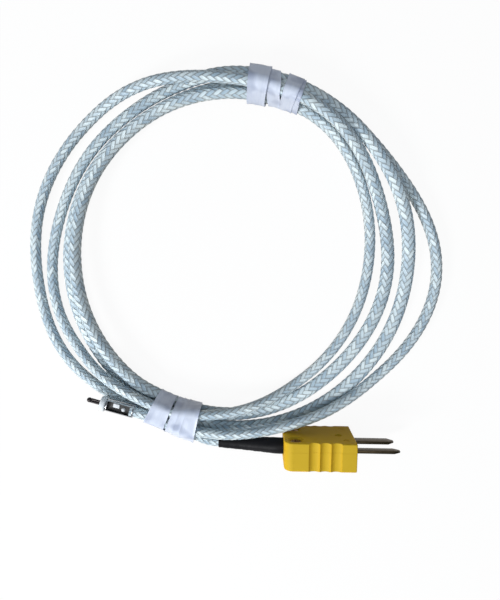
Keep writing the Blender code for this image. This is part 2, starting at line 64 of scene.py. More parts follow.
def put(nodes, kind, **settings):
    """A node of that kind with its settings, and its unlinked sockets by name or number."""
    made = nodes.new(kind)
    sockets = settings.pop("sockets", {})
    for key, value in settings.items():
        setattr(made, key, value)
    for key, value in sockets.items():
        made.inputs[key].default_value = value
    return made


def light_table():
    """White table top: lit from within for the camera and for mirrors, and a warm grey for all other rays."""
    made, nodes, links = material("pale_table")
    nodes.clear()
    out = put(nodes, "ShaderNodeOutputMaterial")
    paper = put(nodes, "ShaderNodeBsdfDiffuse")
    tint = put(nodes, "ShaderNodeMix", data_type="RGBA",
               sockets={"A": (0.47, 0.40, 0.32, 1.0), "B": (0.93, 0.93, 0.93, 1.0)})
    white = put(nodes, "ShaderNodeEmission", sockets={"Color": (1.0, 1.0, 1.0, 1.0), "Strength": 1.0})
    path = put(nodes, "ShaderNodeLightPath")
    seen = put(nodes, "ShaderNodeMath", operation="MAXIMUM")
    mirrored = put(nodes, "ShaderNodeMath", operation="MAXIMUM")
    share = put(nodes, "ShaderNodeMath", operation="MULTIPLY", sockets={1: 0.93})
    mix = put(nodes, "ShaderNodeMixShader")
    links.new(path.outputs["Is Camera Ray"], seen.inputs[0])
    links.new(path.outputs["Is Transmission Ray"], seen.inputs[1])
    links.new(seen.outputs[0], mirrored.inputs[0])
    links.new(path.outputs["Is Glossy Ray"], mirrored.inputs[1])
    links.new(mirrored.outputs[0], share.inputs[0])
    links.new(mirrored.outputs[0], tint.inputs["Factor"])
    links.new(tint.outputs["Result"], paper.inputs["Color"])
    links.new(share.outputs[0], mix.inputs[0])
    links.new(paper.outputs[0], mix.inputs[1])
    links.new(white.outputs[0], mix.inputs[2])
    links.new(mix.outputs[0], out.inputs["Surface"])
    bpy.ops.object.select_all(action="DESELECT")
    bpy.ops.mesh.primitive_plane_add(size=3.0, location=(0.0, 0.0, 0.0))
    table = bpy.context.object
    table.name = "table"
    table.data.materials.append(made)


def lamp(name, place, size, power, colour):
    """A square lamp that looks at the middle of the table."""
    data = bpy.data.lights.new(name, "AREA")
    data.size = size
    data.energy = power
    data.color = colour
    made = bpy.data.objects.new(name, data)
    scene.collection.objects.link(made)
    made.location = place
    made.rotation_euler = (-Vector(place)).to_track_quat("-Z", "Y").to_euler()


def studio():
    """Soft bluish light from all round, and plain white behind everything for the camera."""
    world = bpy.data.worlds.new("studio")
    scene.world = world
    world.use_nodes = True
    nodes, links = world.node_tree.nodes, world.node_tree.links
    sky = nodes["Background"]
    sky.inputs["Color"].default_value = (0.80, 0.90, 1.0, 1.0)
    sky.inputs["Strength"].default_value = 0.24
    backdrop = put(nodes, "ShaderNodeBackground", sockets={"Color": (1.0, 1.0, 1.0, 1.0), "Strength": 1.0})
    looked_at = put(nodes, "ShaderNodeLightPath")
    choose = put(nodes, "ShaderNodeMixShader")
    links.new(looked_at.outputs["Is Camera Ray"], choose.inputs[0])
    links.new(sky.outputs[0], choose.inputs[1])
    links.new(backdrop.outputs[0], choose.inputs[2])
    links.new(choose.outputs[0], nodes["World Output"].inputs["Surface"])


light_table()
lamp("key_lamp", (-0.36, -0.30, 0.34), 0.16, 2.7, (1.0, 1.0, 1.0))
lamp("top_lamp", (-0.08, -0.12, 0.60), 0.30, 1.15, (0.96, 0.98, 1.0))
studio()

# Route of the cable, as in the solids

CABLE_D = 3.2 * MM
STRAND_GAP = 0.5 * MM
FIT = 0.3 * MM
COIL = Vector((0.4 * MM, 4.4 * MM, 0.0))
TOP_ANGLE, WRAP_ANGLE = 76.0, 249.0
TOP_RADIUS, WRAP_RADIUS = 49.5 * MM, 53.8 * MM
PITCH = CABLE_D + STRAND_GAP
ROW = PITCH * sqrt(3.0) / 2.0
REST = CABLE_D / 2.0
TIE_LIFT = 0.7 * MM
TOP_PASSES = ((-0.60, 2.02), (-1.04, 0.0), (0.25, 1.15), (0.0, 0.0))
WRAP_PASSES = ((1.0, 0.0), (-1.04, 0.0), (-0.55, 1.36), (0.0, 0.0), (0.51, 1.13))
LEFT_WAVES = (
    ((7.13, -0.23, -0.53, 0.3, -0.6, -0.23, -0.33, -0.25), 0.0, (0.05, 0.15), (0.60, 0.84)),
    ((-0.72, -0.22, 0.0, 0.06, -0.02, 0.02, -0.05, 0.04), 1.10, (0.025, 0.10), (0.927, 1.0)),
    ((2.9, 2.17, 0.59, -0.41, -0.34, -0.3, -0.07, 0.05, -0.05), 0.0, (0.12, 0.25), (0.785, 0.925)),
    ((-2.91, 0.63, -0.37, -0.01, 0.05, -0.06, 0.04), 0.0, (0.05, 0.16), (0.85, 0.94)),
)
RIGHT_WAVES = (
    ((-2.63, -0.34, 0.27, -0.07, 0.47, 0.06), 0.0, (0.08, 0.38), (0.85, 0.95)),
    ((-8.28, 1.45, 0.56, 0.56, 0.21, 0.15, 0.05, 0.06), 0.0, (0.06, 0.16), (0.72, 0.90)),
    ((-0.1, -0.56, -0.05, -0.15, 0.06, 0.03), 0.0, (0.27, 0.48), (0.853, 0.95)),
    ((4.74, 1.6, -2.61, -0.28, 0.71, 0.38, 0.12, -0.11), 0.0, (0.06, 0.14), (0.592, 0.749)),
)
CLIMB, CLIMB_UP, CLIMB_DOWN = 1.5 * MM, (0.64, 0.79), (0.88, 0.98)
PLUG = Matrix.Translation((14.64 * MM, -53.28 * MM, 8.0 * MM)) @ Matrix.Rotation(radians(-0.8), 4, "Z")
BOOT_BENDS = ((1.8, 0.0, 0.0), (-1.0, 0.0, 0.0), (-3.0, -0.15, -0.6), (-6.0, -0.55, -2.1),
              (-9.0, -0.95, -3.6), (-12.5, -1.15, -4.7), (-16.0, -1.2, -5.3), (-19.6, -1.1, -5.6))
LEAD = ((6.3, -6.1, 2.3), (2.4, -4.85, 2.3))
TIP = ((-4.3, -0.3, 6.3), (-7.7, 1.2, 6.6), (-11.1, 2.15, 6.6))
WRAP_AT = COIL + Vector((WRAP_RADIUS * cos(radians(WRAP_ANGLE)), WRAP_RADIUS * sin(radians(WRAP_ANGLE)), 0.0))


def ease(x):
    """A smooth step from 0 to 1."""
    return (1.0 - cos(pi * min(max(x, 0.0), 1.0))) / 2.0


def half_turn(turn, left, u):
    """Point at share u of a half turn: the left one runs from the wrap to the top tie, the right one back."""
    if left:
        (ca, ka), (cb, kb) = WRAP_PASSES[turn], TOP_PASSES[turn]
        ra, rb = WRAP_RADIUS + ca * PITCH, TOP_RADIUS + cb * PITCH
        angle = WRAP_ANGLE + (TOP_ANGLE - WRAP_ANGLE) * u
        waves, rest, (h0, h1), (h2, h3) = LEFT_WAVES[turn]
    else:
        (ca, ka), (cb, kb) = TOP_PASSES[turn], WRAP_PASSES[turn + 1]
        ra, rb = TOP_RADIUS + ca * PITCH, WRAP_RADIUS + cb * PITCH
        angle = TOP_ANGLE + (WRAP_ANGLE - 360.0 - TOP_ANGLE) * u
        waves, rest, (h0, h1), (h2, h3) = RIGHT_WAVES[turn]
    low = REST + rest * ROW
    start, end = REST + TIE_LIFT + ka * ROW, REST + TIE_LIFT + kb * ROW
    r = ra + (rb - ra) * ease(u) + MM * sum(a * sin(pi * (n + 1) * u) for n, a in enumerate(waves))
    z = low + (start - low) * (1.0 - ease((u - h0) / (h1 - h0))) + (end - low) * ease((u - h2) / (h3 - h2))
    if turn == 3 and not left:
        (c0, c1), (c2, c3) = CLIMB_UP, CLIMB_DOWN
        z += CLIMB * ease((u - c0) / (c1 - c0)) * (1.0 - ease((u - c2) / (c3 - c2)))
    return COIL + Vector((r * cos(radians(angle)), r * sin(radians(angle)), z))


def rounded(points, count):
    """Points on a rounded curve through the given points."""
    p = np.array([tuple(q) for q in points], dtype=float)
    p = np.vstack([2.0 * p[0] - p[1], p, 2.0 * p[-1] - p[-2]])
    out = []
    for k in range(1, len(p) - 2):
        a, b, c, d = p[k - 1], p[k], p[k + 1], p[k + 2]
        for t in np.arange(count) / count:
            out.append(0.5 * (2.0 * b + (c - a) * t + (2.0 * a - 5.0 * b + 4.0 * c - d) * t * t
                              + (3.0 * b - a - 3.0 * c + d) * t ** 3))
    return np.array(out + [p[-2]])


def soften(values, width):
    """Running mean with a bell weight, ends held."""
    reach = int(3 * width)
    bell = np.exp(-0.5 * (np.arange(-reach, reach + 1) / width) ** 2)
    bell /= bell.sum()
    padded = np.concatenate([[values[0]] * reach, values, [values[-1]] * reach])
    return np.convolve(padded, bell, mode="valid")


boot_end = PLUG @ (MM * Vector(BOOT_BENDS[-1]))
boot_way = (boot_end - PLUG @ (MM * Vector(BOOT_BENDS[-2]))).normalized()

# Turn of the oval section, in degrees, at each half turn from the wrap: 0 stands on edge, 90 lies flat
ROLL = ((-0.2, 0), (0.0, 8), (0.5, 22), (1.0, 50), (1.5, 82), (2.0, 112), (2.5, 148), (3.0, 165),
        (3.5, 182), (4.0, 186), (4.5, 205), (5.0, 255), (5.5, 272), (6.0, 300), (6.5, 328), (7.0, 345),
        (7.5, 360), (8.1, 372))
HALF_WIDE, HALF_NARROW, HALF_HELD = 1.98 * MM, 1.53 * MM, 1.52 * MM
CARRIERS = 8
BRAID_PITCH = 2.15 * MM
YARN_HEIGHT, YARN_SINK = 0.20 * MM, 0.11 * MM
TABLE_GAP = 0.06 * MM
RING_STEP = 0.433 * MM
TURN_STEPS, CURVE_STEPS = 40, 8
ENDS_KEPT = 8
IN_BOOT, IN_FERRULE = 3.0 * MM, 1.6 * MM


def cable_route():
    """Centre line of the cable at even steps, the turn of its section there, and the run up to there."""
    knots = [(boot_end - boot_way * IN_BOOT, -0.30), (boot_end, -0.25), (boot_end + boot_way * CABLE_D, -0.2)]
    knots += [(WRAP_AT + MM * Vector(p), -0.1) for p in LEAD]
    for turn in range(4):
        for side in (0, 1):
            knots += [(half_turn(turn, side == 0, k / TURN_STEPS), 2 * turn + side + k / TURN_STEPS)
                      for k in range(TURN_STEPS)]
    knots += [(half_turn(3, False, 1.0), 8.0)] + [(WRAP_AT + MM * Vector(p), 8.05) for p in TIP]
    way = (knots[-1][0] - knots[-2][0]).normalized()
    knots += [(knots[-1][0] + way * IN_FERRULE, 8.1)]
    fine = rounded([p for p, _ in knots], CURVE_STEPS)
    where = np.interp(np.arange(len(fine)) / CURVE_STEPS, np.arange(len(knots)), [w for _, w in knots])
    run = np.concatenate([[0.0], np.cumsum(np.linalg.norm(np.diff(fine, axis=0), axis=1))])
    even = np.linspace(0.0, run[-1], int(run[-1] / RING_STEP))
    line = np.stack([np.interp(even, run, fine[:, k]) for k in range(3)], 1)
    for k in range(3):
        middle = soften(line[:, k], 4.0)
        line[ENDS_KEPT:-ENDS_KEPT, k] = middle[ENDS_KEPT:-ENDS_KEPT]
    roll = soften(np.interp(np.interp(even, run, where), *zip(*ROLL)), 40.0)
    return line, np.radians(roll), even


def oval_at(even, length):
    """Half sizes along the cable: round where the boot and the ferrule hold it."""
    past_boot = (even - 5.0 * MM) / (8.0 * MM)
    before_ferrule = (length - even - 4.0 * MM) / (7.0 * MM)
    free = np.clip(np.minimum(past_boot, before_ferrule), 0.0, 1.0)
    free = free * free * (3.0 - 2.0 * free)
    return HALF_HELD + (HALF_WIDE - HALF_HELD) * free, HALF_HELD + (HALF_NARROW - HALF_HELD) * free


def braid_relief(u, v):
    """Height, 0 to 1, of a two-over-two braid, by carriers u round the cable and pitches v along it."""
    a, b = u + v, u - v
    i, j = np.floor(a), np.floor(b)
    m = np.mod(i + j, 4.0)
    over = m < 2.0
    across = np.where(over, a - i, b - j)
    along = np.where(over, b - j + m, a - i + m - 2.0) / 2.0
    return (1.0 - (2.0 * across - 1.0) ** 2) * (0.3 + 0.7 * np.sin(pi * np.clip(along, 0.0, 1.0)))


def braided_tube(name, line, roll, even, sides=32):
    """The cable's mesh, with its yarns in relief and a map that counts carriers and pitches."""
    length = even[-1]
    wide, narrow = oval_at(even, length)
    tangent = np.gradient(line, axis=0)
    tangent /= np.linalg.norm(tangent, axis=1)[:, None]
    side = np.cross(tangent, np.array((0.0, 0.0, 1.0)))
    side /= np.linalg.norm(side, axis=1)[:, None]
    up = np.cross(side, tangent)
    stand = np.cos(roll)[:, None] * up + np.sin(roll)[:, None] * side
    flat = -np.sin(roll)[:, None] * up + np.cos(roll)[:, None] * side
    reach = np.sqrt((wide * stand[:, 2]) ** 2 + (narrow * flat[:, 2]) ** 2)
    line = line.copy()
    line[:, 2] = soften(np.maximum(line[:, 2], reach + TABLE_GAP), 6.0)
    turn = 2.0 * pi * np.arange(sides) / sides
    u = CARRIERS * np.arange(sides + 1) / sides
    v = even / BRAID_PITCH
    relief = braid_relief(u[None, :-1], v[:, None]) * YARN_HEIGHT - YARN_SINK
    c, s = np.cos(turn), np.sin(turn)
    spread = (wide[:, None] + relief) * c[None]
    lift = (narrow[:, None] + relief) * s[None]
    points = line[:, None, :] + spread[..., None] * stand[:, None, :] + lift[..., None] * flat[:, None, :]
    rings = len(line)
    grid = np.arange(rings * sides).reshape(rings, sides)
    nxt = np.roll(grid, -1, axis=1)
    quads = np.stack([grid[:-1], nxt[:-1], nxt[1:], grid[1:]], -1).reshape(-1, 4)
    ends = [grid[0].tolist(), grid[-1][::-1].tolist()]
    mesh = bpy.data.meshes.new(name)
    mesh.from_pydata(points.reshape(-1, 3).tolist(), [], quads[:, ::-1].tolist() + ends)
    layer = mesh.uv_layers.new(name="weave")
    column, row = np.meshgrid(np.arange(sides), np.arange(rings - 1))
    corner = np.stack([np.stack([u[column], v[row]], -1), np.stack([u[column + 1], v[row]], -1),
                       np.stack([u[column + 1], v[row + 1]], -1), np.stack([u[column], v[row + 1]], -1)], 2)
    flat_uv = np.zeros((len(mesh.loops), 2))
    flat_uv[:quads.size] = corner[:, :, ::-1].reshape(-1, 2)
    layer.data.foreach_set("uv", flat_uv.ravel())
    mesh.shade_smooth()
    made = bpy.data.objects.new(name, mesh)
    scene.collection.objects.link(made)
    return made, line


route, route_roll, route_run = cable_route()
cable, cable_line = braided_tube("glass_braid_cable", route, route_roll, route_run)

# Finishes


def group(name, inputs, outputs):
    """An empty shader node group with its inputs and outputs."""
    made = bpy.data.node_groups.new(name, "ShaderNodeTree")
    for label, kind in inputs:
        made.interface.new_socket(label, in_out="INPUT", socket_type=kind)
    for label, kind in outputs:
        made.interface.new_socket(label, in_out="OUTPUT", socket_type=kind)
    return made, made.nodes.new("NodeGroupInput"), made.nodes.new("NodeGroupOutput")


class Sums:
    """Math nodes of one node tree, written as calls."""

    def __init__(self, tree):
        self.tree = tree

    def __call__(self, operation, *values):
        made = self.tree.nodes.new("ShaderNodeMath")
        made.operation = operation
        for k, value in enumerate(values):
            if isinstance(value, (int, float)):
                made.inputs[k].default_value = value
            else:
                self.tree.links.new(value, made.inputs[k])
        return made.outputs[0]


def weave_group():
    """Two-over-two braid on the cable's own map: yarn height, a crevice mask for painted shade, and a tone
    for each float.
    """
    made, start, end = group("braid_weave", (("Map", "NodeSocketVector"),),
                             (("Height", "NodeSocketFloat"), ("Crevice", "NodeSocketFloat"),
                              ("Tone", "NodeSocketFloat"), ("Fibre", "NodeSocketFloat")))
    do = Sums(made)
    split = put(made.nodes, "ShaderNodeSeparateXYZ")
    made.links.new(start.outputs["Map"], split.inputs[0])
    a = do("ADD", split.outputs[0], split.outputs[1])
    b = do("SUBTRACT", split.outputs[0], split.outputs[1])
    i, j = do("FLOOR", a), do("FLOOR", b)
    fa, fb = do("SUBTRACT", a, i), do("SUBTRACT", b, j)
    m = do("FLOORED_MODULO", do("ADD", i, j), 4.0)
    over = do("LESS_THAN", m, 2.0)
    under = do("SUBTRACT", 1.0, over)
    across = do("ADD", do("MULTIPLY", fa, over), do("MULTIPLY", fb, under))
    along = do("ADD", do("MULTIPLY", do("ADD", fb, m), over),
               do("MULTIPLY", do("SUBTRACT", do("ADD", fa, m), 2.0), under))
    crown = do("SUBTRACT", 1.0, do("POWER", do("ABSOLUTE", do("MULTIPLY_ADD", across, 2.0, -1.0)), 2.4))
    rise = do("SINE", do("MULTIPLY", along, pi / 2.0))
    height = do("MULTIPLY", crown, do("MULTIPLY_ADD", rise, 0.6, 0.4))
    yarn = do("ADD", do("MULTIPLY", i, over), do("MULTIPLY", do("ADD", j, 37.0), under))
    seat = do("FLOOR", do("DIVIDE", do("ADD", i, j), 2.0))
    cell = put(made.nodes, "ShaderNodeCombineXYZ")
    made.links.new(yarn, cell.inputs[0])
    made.links.new(seat, cell.inputs[1])
    white = put(made.nodes, "ShaderNodeTexWhiteNoise", noise_dimensions="3D")
    made.links.new(cell.outputs[0], white.inputs["Vector"])
    lines = put(made.nodes, "ShaderNodeCombineXYZ")
    made.links.new(do("MULTIPLY", across, 9.0), lines.inputs[0])
    made.links.new(do("MULTIPLY", along, 0.9), lines.inputs[1])
    made.links.new(do("ADD", yarn, do("MULTIPLY", seat, 3.7)), lines.inputs[2])
    strands = put(made.nodes, "ShaderNodeTexNoise", noise_dimensions="3D",
                  sockets={"Scale": 1.0, "Detail": 2.0})
    made.links.new(lines.outputs[0], strands.inputs["Vector"])
    made.links.new(height, end.inputs["Height"])
    # Crevice mask, 1 in the low parts between the yarns: the finish paints shade there.
    low = put(made.nodes, "ShaderNodeMapRange", interpolation_type="SMOOTHSTEP",
              sockets={"From Min": 0.0, "From Max": 0.66, "To Min": 1.0, "To Max": 0.0})
    made.links.new(height, low.inputs["Value"])
    made.links.new(low.outputs[0], end.inputs["Crevice"])
    made.links.new(white.outputs["Value"], end.inputs["Tone"])
    made.links.new(strands.outputs[0], end.inputs["Fibre"])
    return made


def braid_finish():
    """Glass yarn: a tone for each float, fine fibres, and painted shade that darkens the crevices between the
    yarns.
    """
    made, nodes, links = material("glass_braid")
    shader = nodes["Principled BSDF"]
    do = Sums(made.node_tree)
    uv = put(nodes, "ShaderNodeUVMap", uv_map="weave")
    weave = put(nodes, "ShaderNodeGroup", node_tree=weave_group())
    links.new(uv.outputs[0], weave.inputs["Map"])
    tone = put(nodes, "ShaderNodeMix", data_type="RGBA",
               sockets={"A": (0.44, 0.58, 0.69, 1.0), "B": (0.83, 0.95, 0.99, 1.0)})
    links.new(weave.outputs["Tone"], tone.inputs["Factor"])
    fibre = put(nodes, "ShaderNodeMix", data_type="RGBA", blend_type="MULTIPLY", sockets={"Factor": 0.5})
    links.new(tone.outputs["Result"], fibre.inputs["A"])
    ramp = put(nodes, "ShaderNodeValToRGB")
    dim, full = ramp.color_ramp.elements
    dim.position, dim.color = 0.30, (0.74, 0.74, 0.74, 1.0)
    full.position, full.color = 0.62, (1.0, 1.0, 1.0, 1.0)
    links.new(weave.outputs["Fibre"], ramp.inputs[0])
    links.new(ramp.outputs[0], fibre.inputs["B"])
    # Painted shade: the crevices between the yarns turn towards a warm dark grey.
    painted_crevice_shade = put(nodes, "ShaderNodeMix", data_type="RGBA", sockets={"B": (0.22, 0.21, 0.19, 1.0)})
    links.new(do("MULTIPLY", weave.outputs["Crevice"], 0.62), painted_crevice_shade.inputs["Factor"])
    links.new(fibre.outputs["Result"], painted_crevice_shade.inputs["A"])
    links.new(painted_crevice_shade.outputs["Result"], shader.inputs["Base Color"])
    links.new(do("MULTIPLY_ADD", weave.outputs["Crevice"], 0.3, 0.42), shader.inputs["Roughness"])
    shader.inputs["Sheen Weight"].default_value = 0.10
    bump = put(nodes, "ShaderNodeBump", sockets={"Strength": 1.0, "Distance": 0.00026})
    height = do("MULTIPLY_ADD", weave.outputs["Fibre"], 0.30, weave.outputs["Height"])
    links.new(height, bump.inputs["Height"])
    links.new(bump.outputs[0], shader.inputs["Normal"])
    return made


cable.data.materials.append(braid_finish())
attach(cable, "lead")
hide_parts("braided_cable")

# Hand tools


def alone(obj):
    """Leaves one object selected and active, in object mode."""
    bpy.ops.object.select_all(action="DESELECT")
    obj.select_set(True)
    bpy.context.view_layer.objects.active = obj
    return obj


def pick(obj, kind, wanted):
    """Goes into edit mode on obj with only the wanted verts, edges or faces selected."""
    alone(obj)
    bpy.ops.object.mode_set(mode="EDIT")
    bpy.ops.mesh.select_mode(type=kind)
    bpy.ops.mesh.select_all(action="DESELECT")
    bm = bmesh.from_edit_mesh(obj.data)
    for item in {"VERT": bm.verts, "EDGE": bm.edges, "FACE": bm.faces}[kind]:
        if wanted(item):
            item.select_set(True)
    bm.select_flush_mode()
    bmesh.update_edit_mesh(obj.data)


def leave():
    """Back to object mode."""
    bpy.ops.object.mode_set(mode="OBJECT")


def round_edges(obj, wanted, width, segments=3):
    """Rounds the wanted edges."""
    pick(obj, "EDGE", wanted)
    bpy.ops.mesh.bevel(offset=width, offset_type="OFFSET", segments=segments, profile=0.5, affect="EDGES")
    leave()


def block(name, x, y, z):
    """A box between two x, two y and two z."""
    bpy.ops.object.select_all(action="DESELECT")
    bpy.ops.mesh.primitive_cube_add(size=1.0, location=[(a + b) / 2 for a, b in (x, y, z)])
    made = bpy.context.object
    made.name = name
    made.scale = (x[1] - x[0], y[1] - y[0], z[1] - z[0])
    bpy.ops.object.transform_apply(location=True, rotation=True, scale=True)
    return made


def rod(name, radius, start, end, sides=48, tip=None):
    """A round bar, or a cone where it ends in another radius, between two points."""
    start, end = Vector(start), Vector(end)
    bpy.ops.object.select_all(action="DESELECT")
    bpy.ops.mesh.primitive_cone_add(vertices=sides, radius1=radius, radius2=radius if tip is None else tip,
                                    depth=(end - start).length, location=(start + end) / 2)
    made = bpy.context.object
    made.name = name
    made.rotation_euler = (end - start).to_track_quat("Z", "Y").to_euler()
    bpy.ops.object.transform_apply(location=True, rotation=True, scale=True)
    return made


def carve(obj, tools, operation="DIFFERENCE"):
    """Cuts the tools out of obj, or joins them to it, one at a time, and throws them away."""
    for tool in tools:
        alone(obj)
        step = obj.modifiers.new("carve", "BOOLEAN")
        step.operation = operation
        step.solver = "EXACT"
        step.object = tool
        bpy.ops.object.modifier_apply(modifier=step.name)
        bpy.data.objects.remove(tool, do_unlink=True)
    return obj


def smooth_at(obj, degrees):
    """Smooth shading, with edges sharper than the angle left crisp."""
    alone(obj)
    bpy.ops.object.shade_smooth_by_angle(angle=radians(degrees))


def settle(obj, matrix):
    """Puts a piece made in its own frame where it belongs, with its place in its mesh."""
    alone(obj)
    obj.matrix_world = matrix @ obj.matrix_world
    bpy.ops.object.transform_apply(location=True, rotation=True, scale=True)


def pipe(name, points, radii, sides=32):
    """A round line through points with a radius at each, made a mesh."""
    data = bpy.data.curves.new(name, "CURVE")
    data.dimensions = "3D"
    data.bevel_depth = 1.0
    data.bevel_resolution = sides // 4 - 1
    data.use_fill_caps = True
    line = data.splines.new("POLY")
    line.points.add(len(points) - 1)
    for point, place, radius in zip(line.points, points, radii):
        point.co = (*place, 1.0)
        point.radius = radius
    line.use_smooth = True
    made = bpy.data.objects.new(name, data)
    scene.collection.objects.link(made)
    alone(made)
    bpy.ops.object.convert(target="MESH")
    made = bpy.context.object
    bpy.ops.object.mode_set(mode="EDIT")
    bpy.ops.mesh.select_all(action="SELECT")
    bpy.ops.mesh.remove_doubles(threshold=1e-7)
    bpy.ops.mesh.normals_make_consistent(inside=False)
    leave()
    return made


def belongs(piece, finish, slot, *nodes, body="lead"):
    """Gives a piece its finish, the body that it rides on and the solids that it stands for. The slot is not
    used.
    """
    piece.data.materials.clear()
    piece.data.materials.append(finish)
    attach(piece, body)
    if nodes:
        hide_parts(*nodes)


def install(piece, degrees, place, finish, slot, *nodes, body="lead"):
    """Smooths a piece, puts it where it belongs and hands it over."""
    smooth_at(piece, degrees)
    settle(piece, place)
    belongs(piece, finish, slot, *nodes, body=body)


# More finishes


def grain_group():
    """Fine moulded grain and slow mottling on Object coordinates."""
    made, start, end = group("moulded_grain", (("Fine", "NodeSocketFloat"), ("Slow", "NodeSocketFloat")),
                             (("Grain", "NodeSocketFloat"), ("Mottle", "NodeSocketFloat")))
    place = put(made.nodes, "ShaderNodeTexCoord")
    fine = put(made.nodes, "ShaderNodeTexNoise", sockets={"Detail": 3.0, "Roughness": 0.6})
    slow = put(made.nodes, "ShaderNodeTexNoise", sockets={"Detail": 2.0, "Roughness": 0.5})
    for noise, socket, label in ((fine, "Fine", "Grain"), (slow, "Slow", "Mottle")):
        made.links.new(place.outputs["Object"], noise.inputs["Vector"])
        made.links.new(start.outputs[socket], noise.inputs["Scale"])
        made.links.new(noise.outputs[0], end.inputs[label])
    return made


GRAIN = grain_group()


def grained(name, dull, bright, rough, metallic=0.0, fine=9000.0, slow=260.0, bump=0.10, depth=0.00004,
            spread=0.12, specular=0.5):
    """A finish whose colour drifts between two tones, with grain in its gloss and surface."""
    made, nodes, links = material(name)
    shader = nodes["Principled BSDF"]
    do = Sums(made.node_tree)
    grain = put(nodes, "ShaderNodeGroup", node_tree=GRAIN, sockets={"Fine": fine, "Slow": slow})
    mix = put(nodes, "ShaderNodeMix", data_type="RGBA", sockets={"A": (*dull, 1.0), "B": (*bright, 1.0)})
    links.new(grain.outputs["Mottle"], mix.inputs["Factor"])
    links.new(mix.outputs["Result"], shader.inputs["Base Color"])
    gloss = do("MULTIPLY_ADD", grain.outputs["Grain"], spread, rough - spread / 2.0)
    links.new(gloss, shader.inputs["Roughness"])
    shader.inputs["Metallic"].default_value = metallic
    shader.inputs["Specular IOR Level"].default_value = specular
    lift = put(nodes, "ShaderNodeBump", sockets={"Strength": bump, "Distance": depth})
    links.new(grain.outputs["Grain"], lift.inputs["Height"])
    links.new(lift.outputs[0], shader.inputs["Normal"])
    return made


def paint_warm_light_edge_on(made, colour):
    """Painted light and shade: turns a finish towards a deeper orange where it is seen edge-on, standing in
    for the warm light and shade on the plug's wide faces.
    """
    nodes, links = made.node_tree.nodes, made.node_tree.links
    shade = nodes["Principled BSDF"].inputs["Base Color"]
    do = Sums(made.node_tree)
    edge = put(nodes, "ShaderNodeLayerWeight", sockets={"Blend": 0.5})
    turn = put(nodes, "ShaderNodeMix", data_type="RGBA", sockets={"B": (*colour, 1.0)})
    links.new(shade.links[0].from_socket, turn.inputs["A"])
    links.new(do("MULTIPLY", edge.outputs["Facing"], 0.75), turn.inputs["Factor"])
    links.new(turn.outputs["Result"], shade)


def strip_finish():
    """Thin milky film: streaks along the strip on its own map, painted shade in random patches, and a clear
    gloss.
    """
    made, nodes, links = material("strip_milky")
    shader = nodes["Principled BSDF"]
    do = Sums(made.node_tree)
    uv = put(nodes, "ShaderNodeUVMap", uv_map="film")
    stretch = put(nodes, "ShaderNodeMapping", sockets={"Scale": (14.0, 0.7, 1.0)})
    links.new(uv.outputs[0], stretch.inputs["Vector"])
    streak = put(nodes, "ShaderNodeTexNoise", sockets={"Scale": 1.0, "Detail": 3.0, "Roughness": 0.55})
    links.new(stretch.outputs[0], streak.inputs["Vector"])
    mix = put(nodes, "ShaderNodeMix", data_type="RGBA",
              sockets={"A": (0.66, 0.73, 0.90, 1.0), "B": (0.80, 0.86, 0.98, 1.0)})
    links.new(streak.outputs[0], mix.inputs["Factor"])
    # Painted shade: dark blue patches at random, standing in for the shade in dents of the film.
    place = put(nodes, "ShaderNodeTexCoord")
    cloud = put(nodes, "ShaderNodeTexNoise", sockets={"Scale": 240.0, "Detail": 1.0, "Roughness": 0.5})
    links.new(place.outputs["Object"], cloud.inputs["Vector"])
    dent = put(nodes, "ShaderNodeMapRange", interpolation_type="SMOOTHSTEP",
               sockets={"From Min": 0.42, "From Max": 0.72, "To Min": 0.0, "To Max": 0.70})
    links.new(cloud.outputs[0], dent.inputs["Value"])
    shade = put(nodes, "ShaderNodeMix", data_type="RGBA", sockets={"B": (0.36, 0.42, 0.58, 1.0)})
    links.new(dent.outputs[0], shade.inputs["Factor"])
    links.new(mix.outputs["Result"], shade.inputs["A"])
    links.new(shade.outputs["Result"], shader.inputs["Base Color"])
    links.new(do("MULTIPLY_ADD", streak.outputs[0], 0.18, 0.30), shader.inputs["Roughness"])
    shader.inputs["Transmission Weight"].default_value = 0.12
    shader.inputs["IOR"].default_value = 1.45
    bump = put(nodes, "ShaderNodeBump", sockets={"Strength": 0.35, "Distance": 0.0001})
    links.new(streak.outputs[0], bump.inputs["Height"])
    links.new(bump.outputs[0], shader.inputs["Normal"])
    return made


YELLOW = grained("plug_yellow", (0.545, 0.370, 0.024), (0.625, 0.430, 0.036), 0.50, fine=7000.0,
                 slow=180.0, specular=0.05)
# Painted warm light and shade where the plug is seen edge-on.
paint_warm_light_edge_on(YELLOW, (0.94, 0.51, 0.014))
BRONZE = grained("pin_bronze", (0.044, 0.033, 0.019), (0.082, 0.062, 0.038), 0.40, 1.0, fine=4200.0,
                 slow=700.0, bump=0.15, spread=0.25)
STEEL = grained("screw_steel", (0.40, 0.23, 0.09), (0.58, 0.37, 0.17), 0.46, 1.0, fine=6000.0,
                slow=1500.0, spread=0.2)
BRASS = grained("nut_brass", (0.50, 0.36, 0.14), (0.62, 0.46, 0.19), 0.36, 1.0, fine=5000.0,
                slow=900.0, spread=0.2)
BLACK = grained("boot_black", (0.004, 0.004, 0.005), (0.009, 0.009, 0.011), 0.52, fine=2600.0,
                slow=380.0, bump=0.25, depth=0.00006, spread=0.2, specular=0.12)
CHROME = grained("ferrule_steel", (0.40, 0.41, 0.43), (0.56, 0.57, 0.59), 0.24, 1.0, fine=5200.0,
                 slow=420.0, bump=0.06, spread=0.12)
